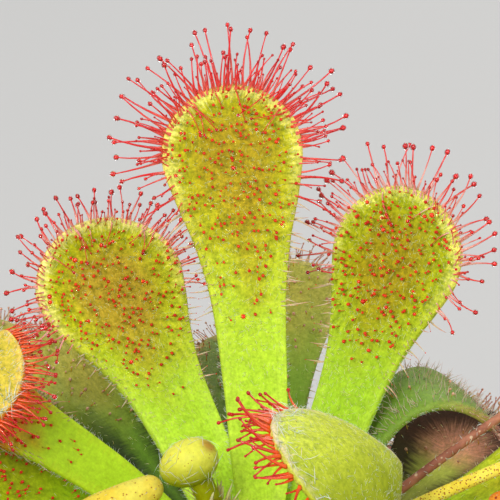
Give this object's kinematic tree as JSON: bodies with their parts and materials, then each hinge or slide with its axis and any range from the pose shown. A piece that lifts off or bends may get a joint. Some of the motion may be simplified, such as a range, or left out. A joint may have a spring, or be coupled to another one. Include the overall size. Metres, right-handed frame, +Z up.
{
  "type": "potted sundew",
  "caption": "Small carnivorous house plant: a rosette of spoon-shaped leaves edged with sticky glandular tentacles, growing in moist soil in a plain round pot.",
  "frame": {"origin": "middle of the pot's flat underside", "axes": "+Z up, along the pot's axis; -Y towards the viewer of the reference view, so +X is that view's right"},
  "size_m": [0.0753, 0.0764, 0.1027],
  "materials": {
    "leaf": "soft, velvety, slightly translucent",
    "tentacle": "glossy, translucent",
    "dew": "clear, wet",
    "crown": "dull",
    "scape": "soft, finely hairy",
    "old_scape": "dry, dull",
    "soil": "moist, crumbly",
    "pot": "satin moulded"
  },
  "bodies": {
    "root": {"crown": "crown", "leaf_arched": "leaf", "leaf_back_left": "leaf", "leaf_back_right": "leaf", "leaf_back_small": "leaf", "leaf_brown": "leaf", "leaf_bud": "leaf", "leaf_centre": "leaf", "leaf_curled": "leaf", "leaf_far_left": "leaf", "leaf_folded": "leaf", "leaf_front": "leaf", "leaf_front_left": "leaf", "leaf_front_low_left": "leaf", "leaf_front_low_right": "leaf", "leaf_front_right": "leaf", "leaf_left": "leaf", "leaf_low_left": "leaf", "leaf_low_right": "leaf", "leaf_right": "leaf", "new_scape": "scape", "old_scape": "old_scape", "pot": "pot", "soil": "soil", "young_scape": "scape"}
  },
  "joints": []
}
